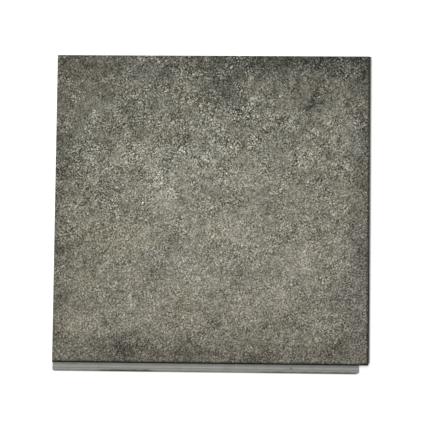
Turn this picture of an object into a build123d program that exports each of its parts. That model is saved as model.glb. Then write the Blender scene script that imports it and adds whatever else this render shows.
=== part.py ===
from build123d import *
import os

# Rigid-core vinyl floor tile: a sawn hand sample of click tile with two milled factory edges.
#
# Frame, in millimetres: the tile lies face up. +X is to the right of the face, +Y to the back, +Z up.
# The origin is the middle of the footprint, locking lip included, on the underside.
#
# The left and back edges are plain saw cuts. The front edge is the groove edge: a bevel over a groove
# over a locking lip. The right edge is the hook edge: a bevel over a nose over an undercut, shaped to
# drop onto a lip like the front one.

# Face, between the joint planes and the saw cuts
FACE_WIDTH = 302.5  # along X
FACE_DEPTH = 297.0  # along Y
WEAR_LAYER = 0.5  # printed film with its clear wear coat

# Heights of the front edge, stacked up from the underside
RECESS_FLOOR = 1.6  # lip under the recess
SHELF_RISE = 0.6  # shelf above the recess, where the next tile's edge rests
RIDGE_RISE = 1.1  # locking ridge above the recess
GROOVE_HEIGHT = 1.7  # groove above the shelf
UPPER_LIP = 2.1  # tile above the groove, printed layer included

# Widths of the locking lip, laid end to end from the front joint plane outwards
SHELF_WIDTH = 1.0
RECESS_SLOPE = 0.8
RECESS_WIDTH = 2.4
RIDGE_FLANK = 0.7  # run of the locking surface
RIDGE_CREST = 1.4
LIP_NOSE = 1.9  # run of the slope down to the lip's end

# Small features of the front edge
LIP_NOSE_DROP = 1.2
LIP_FOOT_CHAMFER = 0.4
GROOVE_DEPTH = 1.3
GROOVE_LEAD_IN = 0.3
CUTTER_ROUND = 0.25  # left by the milling tools in the corners of both edges

# Bevels, measured back from the joint plane and on down into the core
FRONT_BEVEL_WIDTH = 1.5
FRONT_BEVEL_BITE = 0.2
RIGHT_BEVEL_WIDTH = 2.2
RIGHT_BEVEL_BITE = 0.3

# Hook edge: the play that it leaves round a neighbour's lip
JOINT_CLEARANCE = 0.15
NOSE_CLEARANCE = 0.2  # between the nose's tip and the back of the groove
NOSE_CHAMFER = 0.25
UNDERCUT_CLEARANCE = 0.8  # beyond the end of the lip

# Ends of the lip
NOTCH_ROUND = 1.2
RIGHT_CLIP_ALONG = 3.0
RIGHT_CLIP_INTO = 1.4
LEFT_CLIP = 1.4

# Front right corner, where the two joint planes meet
CORNER_ROUND = 1.5
NOSE_SETBACK = 2.5  # from the front joint plane to the start of the nose

# Levels and places that follow
SHELF_HEIGHT = RECESS_FLOOR + SHELF_RISE
RIDGE_HEIGHT = RECESS_FLOOR + RIDGE_RISE
GROOVE_TOP = SHELF_HEIGHT + GROOVE_HEIGHT
THICKNESS = GROOVE_TOP + UPPER_LIP
CORE_TOP = THICKNESS - WEAR_LAYER
RECESS_START = SHELF_WIDTH + RECESS_SLOPE
RIDGE_FOOT = RECESS_START + RECESS_WIDTH
RIDGE_TOP_START = RIDGE_FOOT + RIDGE_FLANK
RIDGE_TOP_END = RIDGE_TOP_START + RIDGE_CREST
LIP_REACH = RIDGE_TOP_END + LIP_NOSE
NOSE_REACH = GROOVE_DEPTH - NOSE_CLEARANCE
UNDERCUT_REACH = LIP_REACH + UNDERCUT_CLEARANCE
LEFT = -(FACE_WIDTH + NOSE_REACH) / 2
RIGHT = LEFT + FACE_WIDTH
BACK = (FACE_DEPTH + LIP_REACH) / 2
FRONT = BACK - FACE_DEPTH
LIP_END = FRONT - LIP_REACH
TOOL_OVERRUN = 5.0  # how far a cutting tool runs past the tile

SHARP = 0.0


def bevel_foot(width, bite):
    """Distance back from the joint plane at which a bevel meets the top of the core."""
    return width * bite / (WEAR_LAYER + bite)


FRONT_FOOT = bevel_foot(FRONT_BEVEL_WIDTH, FRONT_BEVEL_BITE)
RIGHT_FOOT = bevel_foot(RIGHT_BEVEL_WIDTH, RIGHT_BEVEL_BITE)


def groove_edge():
    """Core section across the front edge: corners (y, z, radius), from the back round the lip."""
    return [
        (BACK, 0, SHARP),
        (LIP_END + LIP_FOOT_CHAMFER, 0, SHARP),
        (LIP_END, LIP_FOOT_CHAMFER, SHARP),
        (LIP_END, RIDGE_HEIGHT - LIP_NOSE_DROP, CUTTER_ROUND),
        (FRONT - RIDGE_TOP_END, RIDGE_HEIGHT, CUTTER_ROUND),
        (FRONT - RIDGE_TOP_START, RIDGE_HEIGHT, CUTTER_ROUND),
        (FRONT - RIDGE_FOOT, RECESS_FLOOR, CUTTER_ROUND),
        (FRONT - RECESS_START, RECESS_FLOOR, CUTTER_ROUND),
        (FRONT - SHELF_WIDTH, SHELF_HEIGHT, CUTTER_ROUND),
        (FRONT + GROOVE_DEPTH, SHELF_HEIGHT, CUTTER_ROUND),
        (FRONT + GROOVE_DEPTH, GROOVE_TOP, CUTTER_ROUND),
        (FRONT + GROOVE_LEAD_IN, GROOVE_TOP, SHARP),
        (FRONT, GROOVE_TOP + GROOVE_LEAD_IN, SHARP),
        (FRONT, CORE_TOP - FRONT_BEVEL_BITE, SHARP),
        (FRONT + FRONT_FOOT, CORE_TOP, SHARP),
        (BACK, CORE_TOP, SHARP),
    ]


def hook_edge():
    """Core section across the right edge: corners (x, z, radius), from the left round the hook.

    The underside follows the upper side of a neighbour's lip at the joint clearance.
    """
    ceiling = RIDGE_HEIGHT + JOINT_CLEARANCE
    hook_bottom = RECESS_FLOOR + JOINT_CLEARANCE
    nose_bottom = SHELF_HEIGHT + JOINT_CLEARANCE
    nose_top = GROOVE_TOP - JOINT_CLEARANCE
    nose_tip = RIGHT + NOSE_REACH
    return [
        (LEFT, 0, SHARP),
        (RIGHT - UNDERCUT_REACH, 0, SHARP),
        (RIGHT - UNDERCUT_REACH, ceiling, CUTTER_ROUND),
        (RIGHT - RIDGE_TOP_START + JOINT_CLEARANCE, ceiling, CUTTER_ROUND),
        (RIGHT - RIDGE_FOOT + JOINT_CLEARANCE, hook_bottom, CUTTER_ROUND),
        (RIGHT - RECESS_START - JOINT_CLEARANCE, hook_bottom, CUTTER_ROUND),
        (RIGHT - SHELF_WIDTH - JOINT_CLEARANCE, nose_bottom, CUTTER_ROUND),
        (nose_tip - NOSE_CHAMFER, nose_bottom, SHARP),
        (nose_tip, nose_bottom + NOSE_CHAMFER, SHARP),
        (nose_tip, nose_top - NOSE_CHAMFER, SHARP),
        (nose_tip - NOSE_CHAMFER, nose_top, SHARP),
        (RIGHT, nose_top, SHARP),
        (RIGHT, CORE_TOP - RIGHT_BEVEL_BITE, SHARP),
        (RIGHT - RIGHT_FOOT, CORE_TOP, SHARP),
        (LEFT, CORE_TOP, SHARP),
    ]


def section_face(corners, plane):
    """Face of a section drawn on a plane, with the corners that have a radius rounded."""
    placed = [(plane.from_local_coords((across, up)), radius) for across, up, radius in corners]
    face = Face(Wire.make_polygon([point for point, _ in placed]))
    for point, radius in placed:
        if radius > SHARP:
            corner = face.vertices().sort_by_distance(point)[0]
            face = face.fillet_2d(radius, [corner])
    return face


def along_width(corners):
    """Solid of a (y, z) section over the whole width, nose included."""
    plane = Plane(origin=(LEFT, 0, 0), x_dir=(0, 1, 0), z_dir=(1, 0, 0))
    return Solid.extrude(section_face(corners, plane), Vector(FACE_WIDTH + NOSE_REACH, 0, 0))


def along_depth(corners):
    """Solid of an (x, z) section over the whole depth, lip included."""
    plane = Plane(origin=(0, BACK, 0), x_dir=(1, 0, 0), z_dir=(0, -1, 0))
    return Solid.extrude(section_face(corners, plane), Vector(0, -FACE_DEPTH - LIP_REACH, 0))


def through_tool(corners):
    """Cutting tool with a plan outline, running right through the tile's thickness."""
    plane = Plane(origin=(0, 0, -TOOL_OVERRUN))
    return Solid.extrude(section_face(corners, plane), Vector(0, 0, THICKNESS + 2 * TOOL_OVERRUN))


def notch_tool():
    """Takes the lip away beside the hook edge, leaving a rounded inner corner."""
    outer = RIGHT + NOSE_REACH + TOOL_OVERRUN
    below = LIP_END - TOOL_OVERRUN
    return through_tool(
        [
            (RIGHT - UNDERCUT_REACH, FRONT, NOTCH_ROUND),
            (RIGHT - UNDERCUT_REACH, below, SHARP),
            (outer, below, SHARP),
            (outer, FRONT, SHARP),
        ]
    )


def clip_tool(end, along, into):
    """Clips the lip's outer corner at the given end; along is signed towards the lip's middle."""
    return through_tool(
        [
            (end, LIP_END, SHARP),
            (end + along, LIP_END, SHARP),
            (end, LIP_END + into, SHARP),
        ]
    )


def corner_tool():
    """Rounds the corner between the joint planes and takes the nose away beside it."""
    outer = RIGHT + NOSE_REACH + TOOL_OVERRUN
    below = FRONT - TOOL_OVERRUN
    return through_tool(
        [
            (RIGHT, FRONT, CORNER_ROUND),
            (RIGHT, FRONT + NOSE_SETBACK, SHARP),
            (outer, FRONT + NOSE_SETBACK, SHARP),
            (outer, below, SHARP),
            (RIGHT - NOSE_SETBACK, below, SHARP),
            (RIGHT - NOSE_SETBACK, FRONT, SHARP),
        ]
    )


def make_core_board():
    """Grey core with both milled edges, below the printed layer."""
    core = along_width(groove_edge()) & along_depth(hook_edge())
    core -= notch_tool()
    core -= corner_tool()
    core -= clip_tool(RIGHT - UNDERCUT_REACH, -RIGHT_CLIP_ALONG, RIGHT_CLIP_INTO)
    core -= clip_tool(LEFT, LEFT_CLIP, LEFT_CLIP)
    return core


def make_printed_layer():
    """Printed film and clear wear coat, bevelled through on the front and right edges."""
    front_section = [
        (BACK, CORE_TOP, SHARP),
        (FRONT + FRONT_FOOT, CORE_TOP, SHARP),
        (FRONT + FRONT_BEVEL_WIDTH, THICKNESS, SHARP),
        (BACK, THICKNESS, SHARP),
    ]
    right_section = [
        (LEFT, CORE_TOP, SHARP),
        (RIGHT - RIGHT_FOOT, CORE_TOP, SHARP),
        (RIGHT - RIGHT_BEVEL_WIDTH, THICKNESS, SHARP),
        (LEFT, THICKNESS, SHARP),
    ]
    return along_width(front_section) & along_depth(right_section)


os.makedirs("parts", exist_ok=True)
export_step(make_core_board(), "parts/core_board.step")
export_step(make_printed_layer(), "parts/printed_layer.step")
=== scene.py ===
"""Looks of a rigid-core vinyl floor tile: embossed stone print, painted bevels, milled grey core."""
import math

import bpy
import numpy as np
from mathutils import Matrix, Vector


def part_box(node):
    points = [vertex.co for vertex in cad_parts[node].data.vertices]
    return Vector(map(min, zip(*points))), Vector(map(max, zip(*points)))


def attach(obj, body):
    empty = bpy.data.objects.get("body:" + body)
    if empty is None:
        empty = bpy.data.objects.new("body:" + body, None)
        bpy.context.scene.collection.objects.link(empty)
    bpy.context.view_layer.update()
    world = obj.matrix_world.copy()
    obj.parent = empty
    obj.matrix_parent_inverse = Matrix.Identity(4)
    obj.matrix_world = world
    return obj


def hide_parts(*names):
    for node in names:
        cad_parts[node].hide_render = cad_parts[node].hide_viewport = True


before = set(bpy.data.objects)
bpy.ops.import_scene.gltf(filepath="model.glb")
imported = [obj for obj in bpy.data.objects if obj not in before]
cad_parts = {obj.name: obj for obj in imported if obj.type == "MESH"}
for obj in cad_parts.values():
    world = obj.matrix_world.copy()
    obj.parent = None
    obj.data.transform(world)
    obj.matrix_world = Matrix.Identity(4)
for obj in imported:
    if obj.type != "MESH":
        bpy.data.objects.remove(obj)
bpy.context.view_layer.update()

MM = 0.001
WHITE = (1.0, 1.0, 1.0, 1.0)

# Places taken from the parts of model.glb, and the sizes of the two milled edges
core_low, core_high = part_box("core_board")
film_low, film_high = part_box("printed_layer")
LIP_REACH = 8.2 * MM
NOSE_REACH = 1.1 * MM
UNDERCUT_REACH = 9.0 * MM
GROOVE_DEPTH = 1.3 * MM
FRONT_BEVEL = 1.5 * MM
RIGHT_BEVEL = 2.2 * MM
LEFT = core_low.x
RIGHT = core_high.x - NOSE_REACH
BACK = core_high.y
LIP_END = core_low.y
FRONT = LIP_END + LIP_REACH
CORE_TOP = film_low.z
FACE = film_high.z

# Embossing of the wear coat
EMBOSS_CELL = 1.0 * MM
EMBOSS_DEPTH = 0.10 * MM
EMBOSS_MIDDLE = 0.5  # half way from the pits to the tops
EMBOSS_SPREAD = 4.0
EMBOSS_SEED = 11
GRAIN_LENGTH = 3.6 * MM
GRAIN_SHARE = 0.7
SWELL_LENGTH = 9.0 * MM
SWELL_SHARE = 0.3
RING_SHARPNESS = 2.0
LEAST_FREQUENCY = 1e-6
BEVEL_STEPS = 4
CREASE_ANGLE = math.radians(14.0)

# Noise in general
NOISE_MIDDLE = 0.5
USUAL_DETAIL = 2.0
USUAL_ROUGHNESS = 0.5
NO_DETAIL = 0.0
TILT = (0.7, 0.5, 0.9)  # angles that bring a pattern out of line with the tile

# Ground of the stone print, tones as display values
PRINT_TONE = 0.419
DARKEST_TONE = 0.12
DISPLAY_GAMMA = 2.2
MOTTLE = 0.245
MOTTLE_NOISE = {"scale": 40.0, "detail": 5.0, "roughness": 0.62, "seed": 1.0}
CLUMP_FRONT = 0.195
CLUMP_BACK = 0.31
CLUMP_NOISE = {"scale": 140.0, "detail": 1.0, "seed": 2.0}
RIM_WIDTH = 34.0 * MM
RIM_SHADE = -0.055
BACK_SHADE = -0.060
BACK_SHADE_WIDTH = 100.0 * MM
CLOUD_WANDER = 8.0 * MM
CLOUD_WANDER_SCALE = 20.0

# Flecks of the print
SPECKLE_SCALE = 600.0
SPECKLE_FRONT = 0.355
SPECKLE_BACK = 0.435
SPECKLE_LIFT = 0.13
SPECKLE_LEAST = 0.27
SPECKLE_BLEND = 0.10
SMALL_FLECK_SCALE = 1.5  # times the scale of the large flecks
SMALL_FLECK_SHARE = 1.6
RESTLESS_FRONT = 0.4
RESTLESS_BACK = 1.5
RESTLESS_NOISE = {"scale": 60.0, "seed": 3.0}
FINE_GRAIN = 0.20
FINE_GRAIN_NOISE = {"scale": 2400.0, "seed": 6.0}
PIT_SHADE = 0.12

# Colour of the print
WARM_TINT = (1.059, 1.000, 0.8895, 1.0)
COOL_TINT = (0.989, 1.000, 0.9095, 1.0)
WARMTH_FRONT = 0.60
WARMTH_BACK = 0.38
WARM_DRIFT = 0.8
WARM_DRIFT_NOISE = {"scale": 45.0, "detail": 3.0, "seed": 4.0}
WARM_FLECKS = 1.8
WARM_FLECKS_NOISE = {"scale": 220.0, "roughness": 0.6, "seed": 5.0}
OCHRE_TINT = (0.0, 0.0, -0.0130)
OCHRE_MOTTLE = 5.0
OCHRE_NOISE = {"scale": 60.0, "detail": 4.0, "roughness": 0.6, "seed": 7.0}
OCHRE_OF_CLOUDS = 3.2
CLOUD_TINT = 0.5
FLECK_TINT = 0.25

# Wear coat
PRINT_SPECULAR = 0.15
PRINT_ROUGHNESS = 0.62
PRINT_ROUGHNESS_SWING = 0.12
GLOSS_NOISE = {"scale": 500.0}
PRINT_BUMP = 0.04 * MM
PRINT_BUMP_STRENGTH = 0.6

# Bevel paint; a fade is where the paint starts and where it is full, in from the joint plane
PAINT = (0.0050, 0.0048, 0.0026, 1.0)
FRONT_COAT_FADE = (FRONT_BEVEL + 0.3 * MM, FRONT_BEVEL - 0.5 * MM)
FRONT_MIST = 0.46
FRONT_MIST_FADE = (FRONT_BEVEL + 1.8 * MM, FRONT_BEVEL + 0.1 * MM)
RIGHT_COAT = 0.47
RIGHT_COAT_FRONT = 0.72
RIGHT_COAT_FADE = (1.8 * MM, 0.6 * MM)
RIGHT_MIST = 0.42
RIGHT_MIST_FADE = (RIGHT_BEVEL + 1.0 * MM, RIGHT_BEVEL - 0.3 * MM)
PAINT_FOOT_FADE = (CORE_TOP - 1.6 * MM, CORE_TOP - 1.3 * MM)  # heights
PAINT_RAGGED = 0.5 * MM
PAINT_NOISE = {"scale": 260.0, "detail": 3.0}

# Grey core; a fade is where an edge's own finish starts and where it is full
CORE_TONE = 0.57
CORE_TINT = (0.995, 1.005, 0.925)
CORE_SPECULAR = 0.2
CORE_ROUGHNESS = 0.7
CORE_ROUGHNESS_SWING = 0.1
CORE_BUMP = 0.05 * MM
CORE_BUMP_STRENGTH = 0.5
CORE_GRAIN = 0.03
CORE_GRAIN_SCALE = 1100.0
BLOTCH_SHADE = 0.10
BLOTCH_NOISE = {"scale": 110.0, "detail": 3.0}
# Nose painted paler, as painted light against the shade from the joint face that rises beside it
NOSE_PAINTED_LIGHT = 1.08
NOSE_FADE = (RIGHT - 0.1 * MM, RIGHT + 0.1 * MM)
LINE_SHADE = 0.14
LINE_DETAIL = 3.0
MILLED_FRONT_FADE = (FRONT + GROOVE_DEPTH + 0.2 * MM, FRONT + GROOVE_DEPTH + 0.1 * MM)
MILLED_RIGHT_FADE = (RIGHT - UNDERCUT_REACH - 0.2 * MM, RIGHT - UNDERCUT_REACH - 0.1 * MM)
SAWN_LEFT_FADE = (LEFT + 0.3 * MM, LEFT + 0.1 * MM)
SAWN_BACK_FADE = (BACK - 0.3 * MM, BACK - 0.1 * MM)

# Tool lines and saw marks, as lines per metre along X, Y and Z
MILLED_FRONT_LINES = (6.0, 1100.0, 1100.0)
MILLED_RIGHT_LINES = (1100.0, 6.0, 1100.0)
SAWN_LEFT_LINES = (40.0, 1300.0, 90.0)
SAWN_BACK_LINES = (1300.0, 40.0, 90.0)

# Soil on the locking lip; each soiled stretch has its start and end along X (mm) and its strength
SOIL = (0.060, 0.052, 0.040, 1.0)
SOILED_STRETCHES = [(-108, -54, 0.90), (-24, -2, 0.25), (48, 140, 0.65)]
SOIL_STRETCH_FADE = 8.0  # mm
SOIL_EDGE_FADE = (0.80, 1.05)  # shares of the lip's reach
SOIL_SPREAD = 0.2
SOIL_RAGGED = 0.6
LIP_SPECK = (77.0 * MM, FRONT - 3.3 * MM, 0.0)
LIP_SPECK_HALF_SIZE = (2.0 * MM, 1.2 * MM, 1.0)

# Painted shade across the locking lip, darker on the ridge's flank and on the outer slope, a touch lighter
# at the root by the joint: distance out from the joint plane (mm) and share of the core's tone
LIP_SHADE_FADE = (0.3 * MM, 0.8 * MM)  # heights
LIP_PAINTED_SHADES = [
    (0.0, 1.02),
    (1.4, 1.00),
    (2.4, 0.965),
    (3.4, 1.00),
    (4.3, 0.99),
    (4.7, 0.86),
    (5.2, 0.83),
    (5.6, 0.93),
    (6.1, 0.94),
    (6.6, 0.86),
    (7.2, 0.84),
    (8.2, 0.80),
]

# Camera, from the photograph's perspective; the picture is square
CAMERA_PLACE = Vector((94.97, -171.0, 1986.7)) * MM
CAMERA_TARGET = Vector((2.68, -1.86, 6.0)) * MM
CAMERA_TURN = math.radians(0.715)
CAMERA_LENS = 173.6
CAMERA_SENSOR = 36.0
CAMERA_REACH = 20.0

# Studio
FLOOR_RADIUS = 4.0
FLOOR_SIDES = 64
FLOOR_GAP = 0.2 * MM
FLOOR_WHITE = (0.76, 0.76, 0.76, 1.0)
FLOOR_ROUGHNESS = 0.9
FLOOR_GLOW = 0.36
SKY_STRENGTH = 0.62
SOFTBOX_PLACE = Vector((-0.35, 0.55, 1.6))
SOFTBOX_TARGET = Vector((0.0, 0.0, 0.0))
SOFTBOX_SIDE = 1.3
SOFTBOX_POWER = 22.0

# Clouds of the print: x and y of the middle, half width, half depth (mm), turn (degrees), change of tone
CLOUDS = [
    (0, -14, 165, 140, 0, 0.046),
    (-46, 19, 22, 26, 20, 0.064),
    (-3, 56, 35, 17, 5, 0.050),
    (46, 52, 20, 15, 0, 0.040),
    (-19, -58, 19, 28, 10, 0.045),
    (31, -26, 46, 20, -20, 0.012),
    (14, 8, 34, 26, 0, -0.042),
    (-48, -16, 36, 14, 0, -0.046),
    (84, -40, 34, 26, 0, 0.066),
    (-79, -24, 44, 34, 0, 0.022),
    (-88, 52, 22, 11, 10, 0.012),
    (-112, 62, 30, 26, 0, -0.016),
    (-128, 66, 17, 12, 0, -0.056),
    (-128, 34, 18, 12, 0, -0.050),
    (-69, 36, 16, 15, 0, -0.058),
    (-31, 69, 18, 13, 0, -0.068),
    (-45, -82, 28, 26, 0, 0.020),
    (-122, -108, 32, 30, 0, 0.058),
    (66, -85, 50, 28, 0, 0.036),
    (118, 92, 26, 26, 0, 0.030),
    (110, 38, 30, 22, 0, -0.014),
    (75, 154, 140, 26, 0, -0.075),
    (122, 153, 60, 22, 0, -0.042),
    (-70, 150, 80, 18, 0, 0.032),
    (50, 122, 16, 14, 0, -0.044),
    (-145, 46, 42, 46, 0, -0.032),
    (-124, -22, 36, 3.5, 40, -0.045),
    (-118, -10, 36, 3.5, 40, 0.035),
    (8, 116, 28, 40, -25, -0.058),
    (96, 108, 12, 46, -4, -0.062),
    (146, 125, 24, 22, 0, -0.055),
    (-94, 82, 16, 12, 0, -0.085),
    (-149, 72, 18, 15, 0, -0.070),
    (-151, 38, 16, 12, 0, -0.055),
    (-146, -34, 26, 9, 0, -0.060),
    (-96, 26, 30, 24, 0, -0.052),
    (-40, -27, 22, 18, 30, -0.055),
    (-55, -55, 14, 11, 0, -0.055),
    (28, -54, 24, 11, -10, -0.040),
    (0, -108, 14, 11, 20, -0.055),
    (72, -103, 16, 11, 0, -0.050),
    (127, -80, 16, 18, 0, -0.050),
    (147, -38, 20, 14, 0, -0.050),
    (-84, -128, 48, 31, 0, -0.082),
    (-28, -128, 36, 28, 0, -0.064),
    (37, -137, 34, 18, 0, -0.075),
    (122, -123, 36, 24, 20, -0.046),
]

# Warm washes of the print, given as the clouds are, with a change of warmth
WARM_WASHES = [
    (-32, -92, 36, 40, 0, 0.21),
    (-79, -20, 46, 30, 0, 0.12),
    (-122, -106, 34, 50, 0, 0.13),
    (-90, 48, 26, 20, 20, 0.18),
    (89, -48, 40, 26, 0, 0.16),
    (36, -86, 46, 34, 0, 0.14),
    (60, 152, 130, 34, 0, -0.18),
    (-140, 128, 50, 50, 0, 0.22),
    (-132, -30, 46, 90, 0, 0.06),
    (-7, 62, 30, 16, 0, -0.20),
    (5, 118, 30, 30, 0, -0.18),
    (-151, 58, 18, 50, 0, -0.14),
    (-146, -34, 20, 12, 0, -0.20),
    (-48, -38, 22, 22, 0, -0.20),
    (149, -30, 20, 80, 0, -0.08),
    (-96, -136, 26, 18, 0, -0.16),
    (45, 110, 32, 24, 0, -0.10),
    (142, 122, 28, 36, 0, 0.10),
    (-140, 92, 26, 26, 0, 0.10),
    (50, -138, 70, 20, 0, 0.09),
]

# Ochre washes of the print, given as the clouds are, with a change of ochre
OCHRE_WASHES = [
    (150, -85, 62, 115, 0, -1.7),
    (150, 75, 46, 50, 0, -1.0),
    (-102, -18, 56, 62, 0, 1.5),
    (-20, 106, 32, 32, 0, 1.3),
    (-85, 72, 38, 40, 0, 0.8),
    (-32, 42, 44, 40, 0, -0.8),
    (-40, -46, 36, 30, 0, -1.1),
    (42, -56, 62, 36, 0, -0.9),
    (-26, -92, 36, 28, 0, 0.9),
    (-64, 146, 28, 22, 0, -1.2),
    (85, 14, 42, 32, 0, 0.6),
    (-128, -86, 34, 48, 0, 0.7),
    (-60, 118, 90, 44, 0, 0.3),
    (70, 144, 60, 22, 0, 0.4),
]

# Stretches with stronger or weaker flecks, given as the clouds are, with a change of contrast
FLECKED_STRETCHES = [
    (10, 100, 75, 65, 0, 0.08),
    (-100, 0, 75, 62, 0, 0.06),
    (-70, 52, 75, 45, 0, 0.10),
    (-135, 32, 36, 30, 0, 0.06),
    (-118, 4, 30, 20, 0, 0.07),
    (6, 66, 36, 34, 0, 0.07),
    (-58, 28, 52, 24, 0, 0.06),
    (-82, 84, 36, 20, 0, 0.05),
    (-112, 128, 62, 48, 0, -0.15),
    (78, 126, 62, 54, 0, -0.17),
    (76, 90, 40, 26, 0, -0.06),
    (94, 62, 30, 26, 0, -0.12),
    (142, 104, 24, 24, 0, -0.06),
    (-5, -6, 38, 22, 0, -0.06),
    (-112, -28, 46, 20, 0, -0.05),
    (-140, -95, 34, 60, 0, -0.08),
    (134, -48, 28, 26, 0, -0.06),
    (0, -150, 180, 24, 0, -0.04),
]


def shader_node(tree, kind, sockets=None, **settings):
    """Adds a node, sets its properties, and sets or links each of its named or numbered inputs."""
    made = tree.nodes.new(kind)
    for name, value in settings.items():
        setattr(made, name, value)
    for key, value in (sockets or {}).items():
        if isinstance(value, bpy.types.NodeSocket):
            tree.links.new(value, made.inputs[key])
        else:
            made.inputs[key].default_value = value
    return made


def maths(tree, operation, *terms):
    """Result of a maths node on sockets or plain numbers."""
    return shader_node(tree, "ShaderNodeMath", dict(enumerate(terms)), operation=operation).outputs[0]


def vectors(tree, operation, *terms):
    """Result of a vector maths node on sockets or plain vectors."""
    return shader_node(tree, "ShaderNodeVectorMath", dict(enumerate(terms)), operation=operation).outputs[0]


def scaled(tree, vector, factor):
    """A vector or colour times a value."""
    sockets = {0: vector, "Scale": factor}
    return shader_node(tree, "ShaderNodeVectorMath", sockets, operation="SCALE").outputs[0]


def mixed(tree, share, first, second):
    """Colour between two colours."""
    made = shader_node(tree, "ShaderNodeMix", {0: share, 6: first, 7: second}, data_type="RGBA")
    return made.outputs[2]


def ease(tree, value, start, end, low=0.0, high=1.0):
    """Smooth step of a value from low at start to high at end."""
    sockets = {"Value": value, "From Min": start, "From Max": end, "To Min": low, "To Max": high}
    made = shader_node(tree, "ShaderNodeMapRange", sockets, interpolation_type="SMOOTHSTEP")
    return made.outputs["Result"]


def noise(tree, vector, scale, detail=USUAL_DETAIL, roughness=USUAL_ROUGHNESS, seed=0.0):
    """Noise centred on zero, with features about 1/scale metres long.

    Another seed gives an unlike pattern.
    """
    sockets = {"Vector": vector, "W": seed, "Scale": scale, "Detail": detail, "Roughness": roughness}
    made = shader_node(tree, "ShaderNodeTexNoise", sockets, noise_dimensions="4D")
    return maths(tree, "SUBTRACT", made.outputs["Fac"], NOISE_MIDDLE)


def streaks(tree, vector, lines):
    """Noise with its own scale on each axis, so that it runs along the axis with the fewest lines."""
    return noise(tree, vectors(tree, "MULTIPLY", vector, lines), 1.0, detail=LINE_DETAIL)


def tilted(tree, vector):
    """Coordinates turned out of line with the tile, so that no pattern shows the noise's own lattice."""
    sockets = {"Vector": vector, "Rotation": TILT}
    return shader_node(tree, "ShaderNodeVectorRotate", sockets, rotation_type="EULER_XYZ").outputs["Vector"]


def axes_of(tree, vector):
    """The three coordinates of a vector."""
    return shader_node(tree, "ShaderNodeSeparateXYZ", {"Vector": vector}).outputs


def shader_group(name, inputs, outputs):
    """New shader node group with its named inputs (label, kind) and outputs (label, kind)."""
    group = bpy.data.node_groups.new(name, "ShaderNodeTree")
    for label, kind in inputs:
        group.interface.new_socket(label, in_out="INPUT", socket_type=kind)
    for label, kind in outputs:
        group.interface.new_socket(label, in_out="OUTPUT", socket_type=kind)
    return group, group.nodes.new("NodeGroupInput").outputs, group.nodes.new("NodeGroupOutput").inputs


def place_group(tree, group, sockets):
    """Places a group in a tree, with its inputs set or linked, and gives its outputs."""
    return shader_node(tree, "ShaderNodeGroup", sockets, node_tree=group).outputs


def make_soft_patch_group():
    """Value of one soft oval patch: its strength in the middle, easing to 0 at the rim."""
    group, given, out = shader_group(
        "soft_patch",
        [
            ("Vector", "NodeSocketVector"),
            ("Centre", "NodeSocketVector"),
            ("Half Size", "NodeSocketVector"),
            ("Turn", "NodeSocketFloat"),
            ("Strength", "NodeSocketFloat"),
        ],
        [("Value", "NodeSocketFloat")],
    )
    moved = vectors(group, "SUBTRACT", given["Vector"], given["Centre"])
    sockets = {"Vector": moved, "Angle": given["Turn"]}
    turned = shader_node(group, "ShaderNodeVectorRotate", sockets, rotation_type="Z_AXIS").outputs["Vector"]
    flat = vectors(group, "MULTIPLY", turned, (1.0, 1.0, 0.0))
    shrunk = vectors(group, "DIVIDE", flat, given["Half Size"])
    reach = shader_node(group, "ShaderNodeVectorMath", {0: shrunk}, operation="LENGTH").outputs["Value"]
    value = maths(group, "MULTIPLY", ease(group, reach, 1.0, 0.0), given["Strength"])
    group.links.new(value, out["Value"])
    return group


def make_grain_group():
    """Mineral grain: large and small flecks summed, which gives short wormy ones, the pale ones stronger."""
    group, given, out = shader_group(
        "mineral_grain",
        [("Vector", "NodeSocketVector"), ("Scale", "NodeSocketFloat")],
        [("Value", "NodeSocketFloat")],
    )
    loose = tilted(group, given["Vector"])
    large = noise(group, loose, given["Scale"], detail=NO_DETAIL)
    small_scale = maths(group, "MULTIPLY", given["Scale"], SMALL_FLECK_SCALE)
    small = noise(group, loose, small_scale, detail=NO_DETAIL)
    summed = maths(group, "MULTIPLY_ADD", small, SMALL_FLECK_SHARE, large)
    lifted = maths(group, "MULTIPLY", summed, maths(group, "MULTIPLY_ADD", summed, SPECKLE_LIFT, 1.0))
    group.links.new(lifted, out["Value"])
    return group


def make_bevel_paint_group():
    """Mask of the dark paint on the two bevels, from the distance in from each joint plane.

    The front bevel has a full coat and the right one a thin coat, thicker towards the front. A mist of
    paint lies beside both coats, and every edge is ragged.
    """
    group, given, out = shader_group(
        "bevel_paint", [("Vector", "NodeSocketVector")], [("Mask", "NodeSocketFloat")]
    )
    place = axes_of(group, given["Vector"])
    ragged = noise(group, tilted(group, given["Vector"]), **PAINT_NOISE)
    ragged = maths(group, "MULTIPLY", ragged, PAINT_RAGGED)

    front_depth = maths(group, "ADD", maths(group, "SUBTRACT", place["Y"], FRONT), ragged)
    front_coat = ease(group, front_depth, *FRONT_COAT_FADE)
    front_mist = ease(group, front_depth, *FRONT_MIST_FADE, 0.0, FRONT_MIST)
    front = maths(group, "MAXIMUM", front_coat, front_mist)

    right_depth = maths(group, "ADD", maths(group, "SUBTRACT", RIGHT, place["X"]), ragged)
    right_mist = ease(group, right_depth, *RIGHT_MIST_FADE, 0.0, RIGHT_MIST)
    thickness = ease(group, place["Y"], 0.0, FRONT, RIGHT_COAT, RIGHT_COAT_FRONT)
    right_coat = ease(group, right_depth, *RIGHT_COAT_FADE)
    right = maths(group, "MULTIPLY_ADD", right_coat, thickness, right_mist)

    above = ease(group, place["Z"], *PAINT_FOOT_FADE)
    mask = maths(group, "MULTIPLY", maths(group, "MAXIMUM", front, right), above)
    group.links.new(mask, out["Mask"])
    return group


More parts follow.
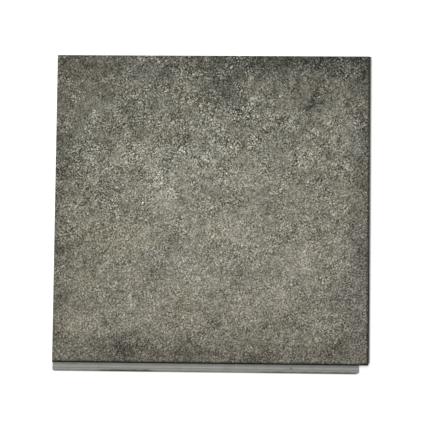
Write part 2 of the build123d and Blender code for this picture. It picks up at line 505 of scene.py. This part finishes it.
def washed(tree, patch, vector, washes):
    """Sum of soft patches given in millimetres."""
    total = 0.0
    for x, y, half_width, half_depth, turn, strength in washes:
        sockets = {
            "Vector": vector,
            "Centre": (x * MM, y * MM, 0.0),
            "Half Size": (half_width * MM, half_depth * MM, 1.0),
            "Turn": math.radians(-turn),
            "Strength": strength,
        }
        total = maths(tree, "ADD", total, place_group(tree, patch, sockets)["Value"])
    return total


def new_finish(name):
    """Material with a bare Principled shader; gives it, its tree, the shader and the object coordinates."""
    finish = bpy.data.materials.new(name)
    finish.use_nodes = True
    tree = finish.node_tree
    tree.nodes.clear()
    shader = tree.nodes.new("ShaderNodeBsdfPrincipled")
    surface = tree.nodes.new("ShaderNodeOutputMaterial")
    tree.links.new(shader.outputs["BSDF"], surface.inputs["Surface"])
    place = tree.nodes.new("ShaderNodeTexCoord").outputs["Object"]
    return finish, tree, shader, place


def raise_surface(tree, shader, height, distance, strength):
    """Bump of a height on a shader."""
    sockets = {"Height": height, "Distance": distance, "Strength": strength}
    bump = shader_node(tree, "ShaderNodeBump", sockets)
    tree.links.new(bump.outputs["Normal"], shader.inputs["Normal"])


def nearest_edge(tree, vector):
    """Distance in from the nearest edge of the face."""
    place = axes_of(tree, vector)
    left_gap = maths(tree, "SUBTRACT", place["X"], LEFT)
    right_gap = maths(tree, "SUBTRACT", RIGHT, place["X"])
    front_gap = maths(tree, "SUBTRACT", place["Y"], FRONT)
    back_gap = maths(tree, "SUBTRACT", BACK, place["Y"])
    across = maths(tree, "MINIMUM", left_gap, right_gap)
    along = maths(tree, "MINIMUM", front_gap, back_gap)
    return maths(tree, "MINIMUM", across, along)


def make_stone_print(patch, grain, paint):
    """Speckled grey-brown stone print under a matte wear coat, with painted bevels."""
    finish, tree, shader, place = new_finish("stone_print")
    depth = axes_of(tree, place)["Y"]
    loose = tilted(tree, place)

    # Clouds and a darker rim, both with wandering outlines
    sockets = {"Vector": loose, "Scale": CLOUD_WANDER_SCALE, "Detail": USUAL_DETAIL}
    wander = shader_node(tree, "ShaderNodeTexNoise", sockets).outputs["Color"]
    pushed = vectors(tree, "MULTIPLY_ADD", wander, (2 * CLOUD_WANDER,) * 3, place)
    cloudy = vectors(tree, "SUBTRACT", pushed, (CLOUD_WANDER,) * 3)
    clouds = washed(tree, patch, cloudy, CLOUDS)
    rim = ease(tree, nearest_edge(tree, cloudy), 0.0, RIM_WIDTH, RIM_SHADE, 0.0)
    rim = maths(tree, "ADD", rim, ease(tree, depth, BACK - BACK_SHADE_WIDTH, BACK, 0.0, BACK_SHADE))

    # Mottle, and clumps that are stronger towards the back
    mottle = maths(tree, "MULTIPLY", noise(tree, loose, **MOTTLE_NOISE), MOTTLE)
    clump_height = ease(tree, depth, FRONT, BACK, CLUMP_FRONT, CLUMP_BACK)
    clumps = maths(tree, "MULTIPLY", noise(tree, loose, **CLUMP_NOISE), clump_height)
    ground = maths(tree, "ADD", maths(tree, "ADD", clouds, rim), maths(tree, "ADD", mottle, clumps))

    # Flecks, never quite gone, with the pits of the embossing darker
    speckle = place_group(tree, grain, {"Vector": place, "Scale": SPECKLE_SCALE})["Value"]
    contrast = ease(tree, depth, FRONT, BACK, SPECKLE_FRONT, SPECKLE_BACK)
    contrast = maths(tree, "ADD", washed(tree, patch, cloudy, FLECKED_STRETCHES), contrast)
    restless = ease(tree, depth, FRONT, BACK, RESTLESS_FRONT, RESTLESS_BACK)
    contrast = maths(tree, "MULTIPLY_ADD", noise(tree, loose, **RESTLESS_NOISE), restless, contrast)
    contrast = maths(tree, "SMOOTH_MAX", contrast, SPECKLE_LEAST, SPECKLE_BLEND)
    emboss = shader_node(tree, "ShaderNodeAttribute", None, attribute_name="emboss").outputs["Fac"]
    pits = maths(tree, "MULTIPLY", maths(tree, "SUBTRACT", emboss, EMBOSS_MIDDLE), PIT_SHADE)
    flecks = maths(tree, "MULTIPLY_ADD", speckle, contrast, pits)
    flecks = maths(tree, "MULTIPLY_ADD", noise(tree, loose, **FINE_GRAIN_NOISE), FINE_GRAIN, flecks)

    # Warmth, which grows towards the front
    warmth = ease(tree, depth, FRONT, BACK, WARMTH_FRONT, WARMTH_BACK)
    warmth = maths(tree, "ADD", washed(tree, patch, cloudy, WARM_WASHES), warmth)
    warmth = maths(tree, "MULTIPLY_ADD", noise(tree, loose, **WARM_DRIFT_NOISE), WARM_DRIFT, warmth)
    warmth = maths(tree, "MULTIPLY_ADD", noise(tree, loose, **WARM_FLECKS_NOISE), WARM_FLECKS, warmth)
    tint = mixed(tree, warmth, COOL_TINT, WARM_TINT)

    # Ochre, which takes from the blue alone
    ochre = washed(tree, patch, cloudy, OCHRE_WASHES)
    ochre = maths(tree, "MULTIPLY_ADD", noise(tree, loose, **OCHRE_NOISE), OCHRE_MOTTLE, ochre)
    ochre = maths(tree, "MULTIPLY_ADD", ground, OCHRE_OF_CLOUDS, ochre)
    tint = vectors(tree, "MULTIPLY_ADD", OCHRE_TINT, ochre, tint)

    # The ground takes more of the tint than the flecks, so that they stay a neutral grey
    tinted = maths(tree, "MULTIPLY_ADD", ground, CLOUD_TINT, PRINT_TONE)
    tinted = maths(tree, "MULTIPLY_ADD", flecks, FLECK_TINT, tinted)
    neutral = maths(tree, "MULTIPLY", ground, 1.0 - CLOUD_TINT)
    neutral = maths(tree, "MULTIPLY_ADD", flecks, 1.0 - FLECK_TINT, neutral)
    shown = vectors(tree, "MULTIPLY_ADD", tint, tinted, neutral)
    shown = vectors(tree, "MAXIMUM", shown, (DARKEST_TONE,) * 3)
    stone = shader_node(tree, "ShaderNodeGamma", {"Color": shown, "Gamma": DISPLAY_GAMMA}).outputs["Color"]

    painted = place_group(tree, paint, {"Vector": place})["Mask"]
    gloss = noise(tree, loose, **GLOSS_NOISE)
    roughness = maths(tree, "MULTIPLY_ADD", gloss, PRINT_ROUGHNESS_SWING, PRINT_ROUGHNESS)
    tree.links.new(mixed(tree, painted, stone, PAINT), shader.inputs["Base Color"])
    tree.links.new(roughness, shader.inputs["Roughness"])
    shader.inputs["Specular IOR Level"].default_value = PRINT_SPECULAR
    raise_surface(tree, shader, speckle, PRINT_BUMP, PRINT_BUMP_STRENGTH)
    return finish


def lip_painted_shade(tree, reach):
    """Painted shade across the lip, as a share of the core's tone, from the distance out as a share of its
    reach.
    """
    curve = shader_node(tree, "ShaderNodeValToRGB", {"Fac": reach})
    stops = curve.color_ramp.elements
    stops.remove(stops[-1])
    for distance, share in LIP_PAINTED_SHADES:
        stop = stops.new(distance * MM / LIP_REACH)
        stop.color = (share, share, share, 1.0)
    stops.remove(stops[0])
    return curve.outputs["Color"]


def lip_soil(tree, patch, place, reach, blotches):
    """Mask of the soil along the lip's outer edge, wider where it is stronger, and of one dark speck."""
    along = axes_of(tree, place)["X"]
    soil = 0.0
    for start, end, strength in SOILED_STRETCHES:
        opens = ease(tree, along, (start - SOIL_STRETCH_FADE) * MM, (start + SOIL_STRETCH_FADE) * MM)
        closes_from, closes_to = (end + SOIL_STRETCH_FADE) * MM, (end - SOIL_STRETCH_FADE) * MM
        closes = ease(tree, along, closes_from, closes_to, 0.0, strength)
        soil = maths(tree, "MULTIPLY_ADD", opens, closes, soil)
    edge = maths(tree, "MULTIPLY_ADD", blotches, SOIL_RAGGED, reach)
    edge = maths(tree, "MULTIPLY_ADD", soil, SOIL_SPREAD, edge)
    soil = maths(tree, "MULTIPLY", soil, ease(tree, edge, *SOIL_EDGE_FADE))
    sockets = {"Vector": place, "Centre": LIP_SPECK, "Half Size": LIP_SPECK_HALF_SIZE, "Strength": 1.0}
    return maths(tree, "MAXIMUM", soil, place_group(tree, patch, sockets)["Value"])


def make_grey_core(patch, grain, paint):
    """Milled grey core: mineral grain, tool lines along the milled edges, saw marks on the cut ones."""
    finish, tree, shader, place = new_finish("grey_core")
    xyz = axes_of(tree, place)

    # Lines left by the milling tools and by the saw, each on its own edge
    milled_front = streaks(tree, place, MILLED_FRONT_LINES)
    milled_front = maths(tree, "MULTIPLY", milled_front, ease(tree, xyz["Y"], *MILLED_FRONT_FADE))
    milled_right = streaks(tree, place, MILLED_RIGHT_LINES)
    milled_right = maths(tree, "MULTIPLY", milled_right, ease(tree, xyz["X"], *MILLED_RIGHT_FADE))
    sawn_left = streaks(tree, place, SAWN_LEFT_LINES)
    sawn_left = maths(tree, "MULTIPLY", sawn_left, ease(tree, xyz["X"], *SAWN_LEFT_FADE))
    sawn_back = streaks(tree, place, SAWN_BACK_LINES)
    sawn_back = maths(tree, "MULTIPLY", sawn_back, ease(tree, xyz["Y"], *SAWN_BACK_FADE))
    milled = maths(tree, "ADD", milled_front, milled_right)
    lines = maths(tree, "ADD", milled, maths(tree, "ADD", sawn_left, sawn_back))

    # Tone, with painted shade across the lip's upper side and a nose painted paler against its shade
    speck = place_group(tree, grain, {"Vector": place, "Scale": CORE_GRAIN_SCALE})["Value"]
    blotches = noise(tree, tilted(tree, place), **BLOTCH_NOISE)
    tone = maths(tree, "MULTIPLY_ADD", speck, CORE_GRAIN, CORE_TONE)
    tone = maths(tree, "MULTIPLY_ADD", lines, LINE_SHADE, tone)
    tone = maths(tree, "MULTIPLY_ADD", blotches, BLOTCH_SHADE, tone)
    # Painted shade on the lip's upper side: darker bands where the milled profile turns from the light
    reach = maths(tree, "DIVIDE", maths(tree, "SUBTRACT", FRONT, xyz["Y"]), LIP_REACH)
    upper = ease(tree, xyz["Z"], *LIP_SHADE_FADE)
    shade = maths(tree, "SUBTRACT", lip_painted_shade(tree, reach), 1.0)
    tone = maths(tree, "MULTIPLY", tone, maths(tree, "MULTIPLY_ADD", shade, upper, 1.0))
    # Painted light: the nose is made paler to offset the shade from the joint face beside it
    tone = maths(tree, "MULTIPLY", tone, ease(tree, xyz["X"], *NOSE_FADE, 1.0, NOSE_PAINTED_LIGHT))
    core = scaled(tree, CORE_TINT, maths(tree, "POWER", tone, DISPLAY_GAMMA))

    soiled = maths(tree, "MULTIPLY", lip_soil(tree, patch, place, reach, blotches), upper)
    core = mixed(tree, soiled, core, SOIL)
    painted = place_group(tree, paint, {"Vector": place})["Mask"]
    roughness = maths(tree, "MULTIPLY_ADD", lines, CORE_ROUGHNESS_SWING, CORE_ROUGHNESS)
    tree.links.new(mixed(tree, painted, core, PAINT), shader.inputs["Base Color"])
    tree.links.new(roughness, shader.inputs["Roughness"])
    shader.inputs["Specular IOR Level"].default_value = CORE_SPECULAR
    raise_surface(tree, shader, lines, CORE_BUMP, CORE_BUMP_STRENGTH)
    return finish


def banded_noise(draws, columns, rows, wavelength):
    """White noise kept only near one wavelength (in cells), scaled to unit spread.

    Its spectrum is multiplied by a ring that falls off as a bell curve of the octaves from the wavelength.
    """
    white = draws.standard_normal((rows, columns))
    across, along = np.meshgrid(np.fft.fftfreq(columns), np.fft.fftfreq(rows))
    octaves = np.log2(np.maximum(np.hypot(across, along), LEAST_FREQUENCY) * wavelength)
    field = np.fft.ifft2(np.fft.fft2(white) * np.exp(-RING_SHARPNESS * octaves**2)).real
    return field / field.std()


def embossing(columns, rows):
    """Height of the wear coat from 0 in the pits to 1 on the tops: a fine grain over a longer swell."""
    draws = np.random.default_rng(EMBOSS_SEED)
    relief = GRAIN_SHARE * banded_noise(draws, columns, rows, GRAIN_LENGTH / EMBOSS_CELL)
    relief += SWELL_SHARE * banded_noise(draws, columns, rows, SWELL_LENGTH / EMBOSS_CELL)
    return np.clip(EMBOSS_MIDDLE + relief / EMBOSS_SPREAD, 0.0, 1.0)


def face_lines(start, end, cell):
    """Evenly spaced lines from start to end, about one cell apart."""
    return np.linspace(start, end, int(round((end - start) / cell)) + 1)


def face_grid():
    """Lines along X and Y over the face and bevels, and each crossing's height as a share of the layer.

    The share is 1 on the face and falls in a straight line to 0 at the foot of each bevel. Where the
    bevels meet it is the smaller of the two.
    """
    bevel = np.linspace(0.0, 1.0, BEVEL_STEPS + 1)
    flat_x = face_lines(LEFT, RIGHT - RIGHT_BEVEL, EMBOSS_CELL)
    flat_y = face_lines(FRONT + FRONT_BEVEL, BACK, EMBOSS_CELL)
    bevel_x = RIGHT - RIGHT_BEVEL + (film_high.x - RIGHT + RIGHT_BEVEL) * bevel[1:]
    bevel_y = film_low.y + (FRONT + FRONT_BEVEL - film_low.y) * bevel[:-1]
    xs = np.concatenate([flat_x, bevel_x])
    ys = np.concatenate([bevel_y, flat_y])
    ramp_x = np.concatenate([np.ones(len(flat_x)), 1.0 - bevel[1:]])
    ramp_y = np.concatenate([bevel[:-1], np.ones(len(flat_y))])
    return xs, ys, np.minimum(ramp_x[None, :], ramp_y[:, None])


def layer_faces(columns, rows):
    """Faces of the layer's top, then of its two walls and base, as numbers of their corners.

    The corners are numbered row by row over the top, then along the foot of the left wall and of the
    back wall. The cells where the bevels meet are split along their mitre.
    """
    number = np.arange(columns * rows).reshape(rows, columns)
    left_foot = columns * rows + np.arange(rows - 1)
    back_foot = left_foot[-1] + 1 + np.arange(columns - 2)
    cells = np.stack([number[:-1, :-1], number[:-1, 1:], number[1:, 1:], number[1:, :-1]], axis=-1)
    step = np.arange(BEVEL_STEPS)
    on_mitre = np.zeros(cells.shape[:2], bool)
    on_mitre[step, columns - 2 - step] = True
    mitre_cells = cells[on_mitre]
    mitre = np.concatenate([mitre_cells[:, [0, 1, 3]], mitre_cells[:, [1, 2, 3]]])
    top = cells[~on_mitre].tolist() + mitre.tolist()

    left_edge = number[1:, 0]
    left_wall = np.stack([left_edge[:-1], left_edge[1:], left_foot[1:], left_foot[:-1]], axis=-1)
    back_edge = number[-1, :-1]
    back_base = np.concatenate([left_foot[-1:], back_foot])
    back_wall = np.stack([back_edge[:-1], back_edge[1:], back_base[1:], back_base[:-1]], axis=-1)
    wall_ends = [
        [number[0, 0], number[1, 0], left_foot[0]],
        [number[-1, -2], number[-1, -1], back_base[-1]],
    ]
    base = np.concatenate([number[0, :], number[1:, -1], back_foot[::-1], left_foot[::-1]])[::-1]
    return top, left_wall.tolist() + back_wall.tolist() + wall_ends + [base.tolist()]


def add_object(name, data):
    """New object in the scene."""
    made = bpy.data.objects.new(name, data)
    bpy.context.scene.collection.objects.link(made)
    return made


def make_printed_layer(finish):
    """Printed layer as a height field over the face, closed by two walls and a base.

    Columns run along X and rows along Y. The height is the bevels' ramp less the embossing, which is
    zero at its highest point and fades out down the bevels.
    """
    xs, ys, ramp = face_grid()
    columns, rows = len(xs), len(ys)
    relief = embossing(columns, rows)
    height = CORE_TOP + (FACE - CORE_TOP) * ramp - EMBOSS_DEPTH * (1.0 - relief) * ramp
    grid_x, grid_y = np.meshgrid(xs, ys)
    top_points = np.stack([grid_x, grid_y, height], axis=-1).reshape(-1, 3)
    left_points = np.stack([np.full(rows - 1, LEFT), ys[1:], np.full(rows - 1, CORE_TOP)], axis=-1)
    inner = xs[1:-1]
    back_points = np.stack([inner, np.full(len(inner), BACK), np.full(len(inner), CORE_TOP)], axis=-1)
    points = np.concatenate([top_points, left_points, back_points])
    top, walls = layer_faces(columns, rows)

    mesh = bpy.data.meshes.new("stone_face")
    mesh.from_pydata(points.tolist(), [], top + walls)
    smooth = np.zeros(len(top) + len(walls), bool)
    smooth[: len(top)] = True
    mesh.polygons.foreach_set("use_smooth", smooth)
    levels = np.full(len(points), EMBOSS_MIDDLE, np.float32)
    levels[: columns * rows] = relief.ravel()
    mesh.attributes.new("emboss", "FLOAT", "POINT").data.foreach_set("value", levels)
    mesh.set_sharp_from_angle(angle=CREASE_ANGLE)
    mesh.materials.append(finish)
    return add_object("stone_face", mesh)


def make_floor():
    """Plain pale floor that glows a little, as a light table does: a disc of many sides."""
    finish, _, shader, _ = new_finish("pale_floor")
    shader.inputs["Base Color"].default_value = FLOOR_WHITE
    shader.inputs["Roughness"].default_value = FLOOR_ROUGHNESS
    shader.inputs["Specular IOR Level"].default_value = 0.0
    shader.inputs["Emission Color"].default_value = WHITE
    shader.inputs["Emission Strength"].default_value = FLOOR_GLOW
    angles = np.linspace(0.0, 2.0 * math.pi, FLOOR_SIDES, endpoint=False)
    depths = np.full(FLOOR_SIDES, -FLOOR_GAP)
    rim = np.stack([FLOOR_RADIUS * np.cos(angles), FLOOR_RADIUS * np.sin(angles), depths], axis=-1)
    mesh = bpy.data.meshes.new("floor")
    mesh.from_pydata(rim.tolist(), [], [list(range(FLOOR_SIDES))])
    mesh.materials.append(finish)
    add_object("floor", mesh)


def aimed(place, target, turn):
    """Matrix at a place that looks along its -Z at a target, with its top turned from +Y in plan."""
    back = (place - target).normalized()
    lead = Vector((-math.sin(turn), math.cos(turn), 0.0))
    side = lead.cross(back).normalized()
    top = back.cross(side)
    return Matrix.Translation(place) @ Matrix((side, top, back)).transposed().to_4x4()


def make_lights():
    """One large softbox above and an even pale surround."""
    softbox = bpy.data.lights.new("softbox", "AREA")
    softbox.size = SOFTBOX_SIDE
    softbox.energy = SOFTBOX_POWER
    add_object("softbox", softbox).matrix_world = aimed(SOFTBOX_PLACE, SOFTBOX_TARGET, 0.0)
    world = bpy.data.worlds.new("studio")
    world.use_nodes = True
    surround = world.node_tree.nodes["Background"]
    surround.inputs["Color"].default_value = WHITE
    surround.inputs["Strength"].default_value = SKY_STRENGTH
    bpy.context.scene.world = world


def make_camera():
    """Camera at the photograph's place, with the photograph's angle of view."""
    lens = bpy.data.cameras.new("camera")
    lens.lens = CAMERA_LENS
    lens.sensor_width = CAMERA_SENSOR
    lens.clip_end = CAMERA_REACH
    camera = add_object("camera", lens)
    camera.matrix_world = aimed(CAMERA_PLACE, CAMERA_TARGET, CAMERA_TURN)
    bpy.context.scene.camera = camera
    bpy.context.scene.view_settings.view_transform = "Standard"


patch_group = make_soft_patch_group()
grain_group = make_grain_group()
paint_group = make_bevel_paint_group()

stone_face = make_printed_layer(make_stone_print(patch_group, grain_group, paint_group))
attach(stone_face, "root")
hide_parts("printed_layer")

core_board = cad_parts["core_board"]
core_board.material_slots[0].material = make_grey_core(patch_group, grain_group, paint_group)

make_floor()
make_lights()
make_camera()
